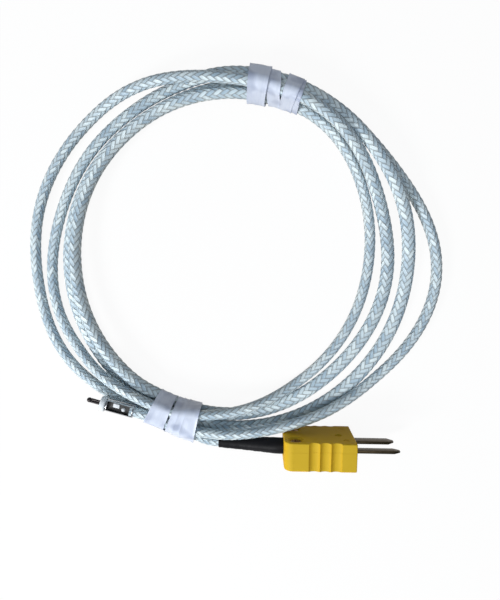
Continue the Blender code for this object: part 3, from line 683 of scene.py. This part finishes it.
# Painted reflection: near-black for the block that stands for the dark surroundings seen in the ferrule's
# top.
PAINTED_DARK_REFLECTION = grained("ferrule_dark_reflection", (0.010, 0.010, 0.011), (0.030, 0.029, 0.028), 0.5, fine=4200.0,
               slow=900.0, bump=0.3)
ALLOY = grained("thermo_alloy", (0.035, 0.032, 0.034), (0.085, 0.075, 0.075), 0.50, 1.0, fine=5200.0,
                slow=900.0, bump=0.2, spread=0.2)
WOOL = grained("sleeve_white", (0.68, 0.72, 0.76), (0.84, 0.88, 0.91), 0.66, fine=5200.0, slow=1500.0,
               bump=0.5, depth=0.00012)
CORE_PLUS = grained("core_yellow", (0.60, 0.44, 0.04), (0.70, 0.52, 0.06), 0.55)
CORE_MINUS = grained("core_red", (0.42, 0.04, 0.03), (0.52, 0.06, 0.05), 0.55)
FILM = strip_finish()

# Ties

STRIP_OFF = 1.90 * MM
STRIP_THICK, STRIP_LOW = 0.16 * MM, 0.12 * MM
CREASE, EDGE_CURL, FOLD_HALF = 0.03 * MM, 0.10 * MM, 0.22
CREASE_SPANS = ((0.6, 2.4), (0.0, 6.28), (1.0, 5.0), (0.0, 6.28), (0.4, 1.0))
ROUND_POINTS, FINER = 40, 16
ANGLE_STEP, ANGLE_SPARE = 0.5, 6.0
line_r = np.hypot(cable_line[:, 0] - COIL.x, cable_line[:, 1] - COIL.y)
line_a = np.degrees(np.arctan2(cable_line[:, 1] - COIL.y, cable_line[:, 0] - COIL.x)) % 360.0


def bundle_at(angle):
    """Radius and height of every pass of the cable at one angle of the coil."""
    off = (line_a - angle + 180.0) % 360.0 - 180.0
    here = np.nonzero((off[:-1] * off[1:] <= 0.0) & (np.abs(off[:-1]) < 3.0))[0]
    share = off[here] / (off[here] - off[here + 1] + 1e-12)
    return (line_r[here] + (line_r[here + 1] - line_r[here]) * share,
            cable_line[here, 2] + (cable_line[here + 1, 2] - cable_line[here, 2]) * share)


def hull(points):
    """Outline of the least convex shape round the points, anticlockwise."""
    points = sorted(map(tuple, points))

    def half(run):
        out = []
        for p in run:
            while len(out) > 1 and ((out[-1][0] - out[-2][0]) * (p[1] - out[-2][1])
                                    - (out[-1][1] - out[-2][1]) * (p[0] - out[-2][0])) <= 0.0:
                out.pop()
            out.append(p)
        return out[:-1]

    return np.array(half(points) + half(points[::-1]))


def girth(angle, count):
    """Taut loop round the bundle, from the middle of its underside by way of the inside of the coil.

    Gives the points of the loop and the outward way at each.
    """
    r, z = bundle_at(angle)
    turn = 2.0 * pi * np.arange(ROUND_POINTS) / ROUND_POINTS
    loop = hull(np.concatenate([np.stack([a + STRIP_OFF * np.cos(turn), b + STRIP_OFF * np.sin(turn)], 1)
                                for a, b in zip(r, z)]))
    middle = (loop.min(0) + loop.max(0)) / 2.0
    closed = np.vstack([loop, loop[:1]])[::-1]
    run = np.concatenate([[0.0], np.cumsum(np.linalg.norm(np.diff(closed, axis=0), axis=1))])
    at = np.linspace(0.0, run[-1], FINER * count, endpoint=False)
    p = np.stack([np.interp(at, run, closed[:, k]) for k in (0, 1)], 1)
    start = np.argmin(np.where(p[:, 1] < middle[1], np.abs(p[:, 0] - middle[0]), 1.0))
    p = np.roll(p, -start, axis=0)[::FINER]
    for k in (0, 1):
        p[:, k] = (np.roll(p[:, k], 1) + 2.0 * p[:, k] + np.roll(p[:, k], -1)) / 4.0
    step = np.roll(p, -1, axis=0) - np.roll(p, 1, axis=0)
    step /= np.linalg.norm(step, axis=1)[:, None]
    out = np.stack([step[:, 1], -step[:, 0]], 1)
    if ((p - middle) * out).sum() < 0.0:
        out = -out
    return p, out


def wound_strip(name, bands, seed, per_turn=96, across=10):
    """Strip wound round the bundle band by band.

    Each band has its angle on the inside and on the outside of the coil, its width, its lift and its fold.
    """
    low = min(min(b[0], b[1]) for b in bands) - ANGLE_SPARE
    high = max(max(b[0], b[1]) for b in bands) + ANGLE_SPARE
    angles = np.arange(low, high, ANGLE_STEP)
    loops = [girth(a, per_turn) for a in angles]
    keys = [(n + f, a, b[2], b[3], b[4]) for n, b in enumerate(bands)
            for f, a in ((0.22, b[0]), (0.5, (b[0] + b[1]) / 2.0), (0.78, b[1]))]
    keys = np.array(keys)
    t = np.linspace(0.06, len(bands) - 0.06, int(len(bands) * per_turn))
    mid, width, lift, fold = (soften(np.interp(t, keys[:, 0], keys[:, k]), 5.0) for k in (1, 2, 3, 4))
    chance = np.random.default_rng(seed)
    waves = [[chance.uniform(*span) for span in CREASE_SPANS] for _ in range(7)]
    radius = np.mean([p[:, 0].mean() for p, _ in loops])
    points, uv = [], []
    for k, now in enumerate(t):
        for m in range(across + 1):
            x = m / across - 0.5
            angle = mid[k] + np.degrees(x * width[k] / radius)
            spot = (angle - low) / ANGLE_STEP
            i = int(min(max(spot, 0), len(angles) - 2))
            f = spot - i
            turn = (now % 1.0) * per_turn
            j = int(turn) % per_turn
            g = turn - int(turn)
            n = (j + 1) % per_turn
            p = (1 - f) * ((1 - g) * loops[i][0][j] + g * loops[i][0][n]) + f * (
                (1 - g) * loops[i + 1][0][j] + g * loops[i + 1][0][n])
            o = (1 - f) * loops[i][1][j] + f * loops[i + 1][1][j]
            o = o / np.linalg.norm(o)
            crease = CREASE * sum(w * sin(6.28 * q * x + a) * sin(c * 6.28 * now + d)
                                  for q, a, c, d, w in waves)
            ridge = fold[k] * max(0.0, 1.0 - abs(x) / FOLD_HALF)
            curl = EDGE_CURL * (2.0 * abs(x)) ** 6
            r, z = p + o * (lift[k] + crease + ridge + curl)
            z = max(z, STRIP_LOW)
            points.append((COIL.x + r * cos(radians(angle)), COIL.y + r * sin(radians(angle)), z))
            uv.append((m / across, now * 6.0))
    wide = across + 1
    faces = [(k * wide + m, k * wide + m + 1, (k + 1) * wide + m + 1, (k + 1) * wide + m)
             for k in range(len(t) - 1) for m in range(across)]
    mesh = bpy.data.meshes.new(name)
    mesh.from_pydata(points, [], faces)
    layer = mesh.uv_layers.new(name="film")
    for loop in mesh.loops:
        layer.data[loop.index].uv = uv[loop.vertex_index]
    made = bpy.data.objects.new(name, mesh)
    scene.collection.objects.link(made)
    alone(made)
    thick = made.modifiers.new("film", "SOLIDIFY")
    thick.thickness = STRIP_THICK
    thick.offset = 0.0
    bpy.ops.object.modifier_apply(modifier=thick.name)
    smooth_at(made, 50.0)
    return made


top_strip = wound_strip("top_strip", (
    (68.5, 69.9, 4.2 * MM, 0.12 * MM, 0.0), (70.9, 70.3, 4.2 * MM, 0.34 * MM, 0.0),
    (75.2, 78.7, 4.2 * MM, 0.22 * MM, 0.0), (82.35, 81.9, 5.7 * MM, 0.75 * MM, 0.05 * MM)), 3)
belongs(top_strip, FILM, "strip_milky", "top_tie")
wrap_strip = wound_strip("wrap_strip", (
    (254.9, 254.9, 4.4 * MM, 0.55 * MM, 0.0), (252.6, 252.6, 4.2 * MM, 0.35 * MM, 0.0),
    (250.5, 250.45, 4.2 * MM, 0.20 * MM, 0.0), (244.3, 244.5, 5.9 * MM, 0.12 * MM, 0.10 * MM)), 8)
belongs(wrap_strip, FILM, "strip_milky", "bottom_tie")

# Plug

LENGTH, HALF_W = 20.8 * MM, 8.0 * MM
BACK, FACE = -4.7 * MM, 3.7 * MM
PIN_BACK, PIN_FRONT = -0.05 * MM, 0.85 * MM
PIN_MID = (PIN_BACK + PIN_FRONT) / 2
PIN_ROOT, PIN_TIP = LENGTH - 3.0 * MM, LENGTH + 13.0 * MM
PIN_TAPER, PIN_END, PIN_THIN = 1.8 * MM, 1.0 * MM, 0.56
PART_LINE, SEAM = 0.95 * MM, 0.015 * MM
NOSE_ROUND, END_ROUND, RIM_ROUND = 2.5 * MM, 0.35 * MM, 0.40 * MM
GRIP_DEPTH, GRIP_HALF, GRIP_PITCH, GRIP_FROM_END = 0.75 * MM, 1.6 * MM, 3.2 * MM, 4.3 * MM
MARK_DEPTH = 0.1 * MM
DENT_X, DENT_Z, DENT_DEPTH = 16.2 * MM, 0.6 * MM, 0.35 * MM
HEAD_TOP, HEAD_SEAT = FACE - 0.6 * MM, FACE - 1.6 * MM
NUT_LOW, NUT_TALL, NUT_ACROSS = BACK + 0.3 * MM, 1.4 * MM, 3.6 * MM
HEAD_R, SHANK_R, DRILL_R = 1.6 * MM, 1.0 * MM, 1.12 * MM
CROSS_DEPTH, CROSS_LONG, CROSS_SLIM = 0.4 * MM, 1.1 * MM, 0.25 * MM
CLEAR, BEYOND = 6.0 * MM, 9.0 * MM
SCREWS = (("upper", 4.7 * MM), ("lower", -4.7 * MM))
SCREW_X = 3.3 * MM
PINS = (("positive", 3.95 * MM, 2.4 * MM), ("negative", -3.95 * MM, 3.2 * MM))


def along_y(edge):
    """Edges that run from one wide face of the plug to the other."""
    a, b = (v.co for v in edge.verts)
    return abs(a.x - b.x) < 1e-6 and abs(a.z - b.z) < 1e-6


def on_rim(edge):
    """Edges round the two wide faces, but none that run from one to the other."""
    return not along_y(edge) and all(min(abs(v.co.y - BACK), abs(v.co.y - FACE)) < 1e-6 for v in edge.verts)


def plug_body():
    """The plug before it is split: a rounded block with three grip hollows on each narrow side."""
    whole = block("plug_body", (0.0, LENGTH), (BACK, FACE), (-HALF_W, HALF_W))
    round_edges(whole, lambda e: along_y(e) and e.verts[0].co.x < MM, NOSE_ROUND, 10)
    round_edges(whole, lambda e: along_y(e) and e.verts[0].co.x > LENGTH - 1e-5, END_ROUND, 3)
    round_edges(whole, on_rim, RIM_ROUND, 4)
    radius = (GRIP_HALF * GRIP_HALF + GRIP_DEPTH * GRIP_DEPTH) / (2.0 * GRIP_DEPTH)
    hollows = []
    for side in (1.0, -1.0):
        z = side * (HALF_W - GRIP_DEPTH + radius)
        for k in range(3):
            x = LENGTH - GRIP_FROM_END - (2.5 - k) * GRIP_PITCH
            hollows.append(rod("scallop", radius, (x, -CLEAR, z), (x, CLEAR, z), 72))
    return carve(whole, hollows)


def screw_seats(z):
    """What is cut for one cover screw: its head's seat and rim, its hole, and the pocket of its nut."""
    head = rod("seat", 1.75 * MM, (SCREW_X, HEAD_SEAT - 0.2 * MM, z), (SCREW_X, CLEAR, z))
    rim = rod("rim", 1.72 * MM, (SCREW_X, FACE - 0.6 * MM, z), (SCREW_X, FACE + 0.05 * MM, z), 48, 2.36 * MM)
    drill = rod("drill", DRILL_R, (SCREW_X, -CLEAR, z), (SCREW_X, CLEAR, z), 32)
    pocket = rod("pocket", 2.2 * MM, (SCREW_X, -CLEAR, z), (SCREW_X, NUT_LOW + 1.5 * MM, z), 6)
    return [head, rim, drill, pocket]


def pin_slots():
    """The slots in the end of the plug, a little wider than the pins."""
    return [block("slot", (LENGTH - 2.0 * MM, LENGTH + MM), (PIN_BACK - 0.1 * MM, PIN_FRONT + 0.1 * MM),
                  (z - w / 2 - 0.12 * MM, z + w / 2 + 0.12 * MM)) for _, z, w in PINS]


def face_marks():
    """A plus and a minus, cut shallow into the cover."""
    deep = (FACE - MARK_DEPTH, FACE + MM)
    return [block("bar", (17.0 * MM, 18.8 * MM), deep, (4.75 * MM, 5.15 * MM)),
            block("bar", (17.7 * MM, 18.1 * MM), deep, (4.05 * MM, 5.85 * MM)),
            block("bar", (17.0 * MM, 18.8 * MM), deep, (-5.15 * MM, -4.75 * MM))]


def blade(name, z, width):
    """A flat pin with a tapered tip."""
    made = block(name, (PIN_ROOT, PIN_TIP), (PIN_BACK, PIN_FRONT), (z - width / 2, z + width / 2))
    pick(made, "FACE", lambda f: f.calc_center_median().x > PIN_TIP - 1e-6)
    bpy.ops.mesh.extrude_region_move(TRANSFORM_OT_translate={"value": (1e-6, 0.0, 0.0)})
    leave()
    bm = bmesh.new()
    bm.from_mesh(made.data)
    for v in bm.verts:
        if abs(v.co.x - PIN_TIP) < 5e-7:
            v.co.x = PIN_TIP - PIN_TAPER
        elif v.co.x > PIN_TIP:
            v.co = (PIN_TIP, PIN_MID + (v.co.y - PIN_MID) * PIN_THIN, z + (v.co.z - z) / width * PIN_END)
    bm.to_mesh(made.data)
    bm.free()
    round_edges(made, lambda e: True, 0.12 * MM, 2)
    return made


def screw(name, z):
    """A cover screw with a cross slot, in one piece with its shank."""
    made = rod(name, HEAD_R, (SCREW_X, HEAD_SEAT, z), (SCREW_X, HEAD_TOP, z), 48)
    round_edges(made, lambda e: all(v.co.y > HEAD_TOP - 0.01 * MM for v in e.verts), 0.28 * MM, 4)
    deep = (HEAD_TOP - CROSS_DEPTH, HEAD_TOP + MM)
    carve(made, [block("cross", (SCREW_X - dx, SCREW_X + dx), deep, (z - dz, z + dz))
                 for dx, dz in ((CROSS_LONG, CROSS_SLIM), (CROSS_SLIM, CROSS_LONG))])
    shank = rod("shank", SHANK_R, (SCREW_X, NUT_LOW, z), (SCREW_X, HEAD_SEAT + 0.1 * MM, z), 32)
    return carve(made, [shank], "UNION")


def nut(name, z):
    """A six-sided nut with its hole."""
    made = rod(name, NUT_ACROSS / sqrt(3.0), (SCREW_X, NUT_LOW, z), (SCREW_X, NUT_LOW + NUT_TALL, z), 6)
    round_edges(made, lambda e: all(v.co.y < NUT_LOW + 0.01 * MM for v in e.verts), 0.15 * MM, 2)
    return carve(made, [rod("drill", DRILL_R, (SCREW_X, -CLEAR, z), (SCREW_X, 0.0, z), 32)])


body = plug_body()
for _, z in SCREWS:
    carve(body, screw_seats(z))
carve(body, [rod("mouth", 2.62 * MM, (-2.0 * MM, 0.0, 0.0), (2.1 * MM, 0.0, 0.0), 40)])
carve(body, pin_slots())
carve(body, [rod("dent", 0.85 * MM, (DENT_X, FACE - DENT_DEPTH, DENT_Z), (DENT_X, FACE + 0.05 * MM, DENT_Z),
                 40, 1.15 * MM)])
carve(body, face_marks())

alone(body)
bpy.ops.object.duplicate()
cover = bpy.context.object
cover.name = "plug_cover_half"
body.name = "plug_base_half"
for half, off in ((body, (PART_LINE - SEAM, BEYOND)), (cover, (-BEYOND, PART_LINE + SEAM))):
    carve(half, [block("off", (-BEYOND, LENGTH + BEYOND), off, (-BEYOND, BEYOND))])
    smooth_at(half, 24.0)
    even = half.modifiers.new("even", "WEIGHTED_NORMAL")
    even.keep_sharp = True
    bpy.ops.object.modifier_apply(modifier=even.name)
    settle(half, PLUG)
belongs(body, YELLOW, "plug_yellow", "plug_base")
belongs(cover, YELLOW, "plug_yellow", "plug_cover")

for name, z, width in PINS:
    install(blade(name + "_blade", z, width), 40.0, PLUG, BRONZE, "pin_bronze", name + "_pin")
for name, z in SCREWS:
    install(screw(name + "_screw_head", z), 30.0, PLUG, STEEL, "screw_steel", name + "_cover_screw",
            body=name + "_screw")
    install(nut(name + "_nut", z), 30.0, PLUG, BRASS, "nut_brass", name + "_cover_nut")

# Boot

BOOT_WIDE, BOOT_SLIM = 2.40 * MM, 1.84 * MM
BOOT_NECK, BOOT_RUN = -3.0 * MM, 16.6 * MM


def boot_rim(edge):
    """The sharp edge where the cable leaves the boot."""
    return edge.calc_face_angle(0.0) > 1.0 and max(v.co.x for v in edge.verts) < -15.0 * MM


boot_path = rounded([MM * Vector(p) for p in BOOT_BENDS], 8)
boot_r = []
for x in boot_path[:, 0]:
    share = min(max((BOOT_NECK - x) / BOOT_RUN, 0.0), 1.0)
    ripple = 0.03 * MM * sin(x * 2100.0) + 0.02 * MM * sin(x * 5200.0 + 1.0)
    boot_r.append(BOOT_WIDE + (BOOT_SLIM - BOOT_WIDE) * share ** 0.8 + ripple * min(1.0, share * 8.0))
boot = pipe("shrink_boot", [tuple(p) for p in boot_path], boot_r, 40)
round_edges(boot, boot_rim, 0.18 * MM, 3)
install(boot, 40.0, PLUG, BLACK, "boot_black", "cable_boot")

# Measuring end

FERRULE_R, FERRULE_LONG = 1.875 * MM, 8.6 * MM
SLEEVE_R, SLEEVE_ENDS = 2.3 * MM, (8.7 * MM, 10.4 * MM)
WIRE_R, WIRE_OFF, WIRE_TWIST = 0.36 * MM, 0.345 * MM, 0.09
# Size and place of the painted highlight dot on the ferrule.
HIGHLIGHT_DOT_R, HIGHLIGHT_DOT_AT = 0.62 * MM, (3.25 * MM, 0.1 * MM, 0.3 * MM)
BEAD_R, BEAD_AT = 0.75 * MM, (13.9 * MM, 0.0, 0.0)

tip_points = [WRAP_AT + MM * Vector(p) for p in TIP]
tip_way = (tip_points[-1] - tip_points[-2]).normalized()
tip_turn = tip_way.to_track_quat("X", "Z").to_matrix().to_4x4()
TIP_FRAME = Matrix.Translation(tip_points[-1] + tip_way * FIT) @ tip_turn


def sharp(edge):
    """The rims of a round bar."""
    return edge.calc_face_angle(0.0) > 1.0


ferrule = rod("crimped_ferrule", FERRULE_R, (0.0, 0.0, 0.0), (FERRULE_LONG, 0.0, 0.0), 72)
round_edges(ferrule, sharp, 0.22 * MM, 4)
# A window cut in the top of the ferrule, filled with a dark block as a painted reflection, under two white
# marks that are painted highlights.
carve(ferrule, [block("bed", (0.45 * MM, 8.15 * MM), (-1.55 * MM, 1.25 * MM), (-0.5 * MM, 3.0 * MM))])
install(ferrule, 30.0, TIP_FRAME, CHROME, "ferrule_steel", "tip_ferrule")
# Painted reflection: the dark block in the window.
bed = block("ferrule_dark_reflection", (0.5 * MM, 8.1 * MM), (-1.5 * MM, 1.2 * MM), (-0.45 * MM, 0.35 * MM))
round_edges(bed, lambda e: True, 0.2 * MM, 3)
install(bed, 40.0, TIP_FRAME, PAINTED_DARK_REFLECTION, "ferrule_steel")
# Painted highlight: a white bar on the dark block, in the white sleeve's finish.
bar = block("ferrule_highlight_bar", (4.5 * MM, 6.5 * MM), (-1.2 * MM, 0.05 * MM), (0.2 * MM, 0.75 * MM))
round_edges(bar, lambda e: True, 0.24 * MM, 4)
install(bar, 40.0, TIP_FRAME, WOOL, "sleeve_white")
# Painted highlight: a white dot on the dark block, in the white sleeve's finish.
bpy.ops.object.select_all(action="DESELECT")
bpy.ops.mesh.primitive_uv_sphere_add(segments=32, ring_count=16, radius=HIGHLIGHT_DOT_R, location=HIGHLIGHT_DOT_AT)
highlight_dot = bpy.context.object
highlight_dot.name = "ferrule_highlight_dot"
bpy.ops.object.transform_apply(location=True, rotation=True, scale=True)
bpy.ops.object.shade_smooth()
settle(highlight_dot, TIP_FRAME)
belongs(highlight_dot, WOOL, "sleeve_white")

sleeve = rod("flared_sleeve", SLEEVE_R, (SLEEVE_ENDS[0], 0.0, 0.0), (SLEEVE_ENDS[1], 0.0, 0.0), 64)
round_edges(sleeve, sharp, 0.5 * MM, 5)
install(sleeve, 60.0, TIP_FRAME, WOOL, "sleeve_white", "tip_sleeve")

for name, side in (("positive", 1.0), ("negative", -1.0)):
    run = []
    for x in np.linspace(8.0, 13.4, 20):
        twist = WIRE_TWIST * (x - 9.0)
        run.append((x * MM, side * WIRE_OFF * cos(twist), side * WIRE_OFF * sin(twist)))
    wire = pipe(name + "_tip_wire", run, [WIRE_R] * len(run), 16)
    install(wire, 40.0, TIP_FRAME, ALLOY, "thermo_alloy", "tip_" + name + "_wire")

bpy.ops.object.select_all(action="DESELECT")
bpy.ops.mesh.primitive_ico_sphere_add(subdivisions=4, radius=BEAD_R, location=BEAD_AT)
bead = bpy.context.object
bead.name = "weld_bead"
bpy.ops.object.transform_apply(location=True, rotation=True, scale=True)
bpy.ops.object.shade_smooth()
settle(bead, TIP_FRAME)
belongs(bead, ALLOY, "thermo_alloy", "junction_bead")

# Solids that stay as they are

for node, finish in (("positive_terminal_screw", STEEL), ("negative_terminal_screw", STEEL),
                     ("positive_clamp_washer", STEEL), ("negative_clamp_washer", STEEL),
                     ("positive_core", CORE_PLUS), ("negative_core", CORE_MINUS),
                     ("positive_wire_end", ALLOY), ("negative_wire_end", ALLOY)):
    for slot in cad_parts[node].material_slots:
        slot.material = finish
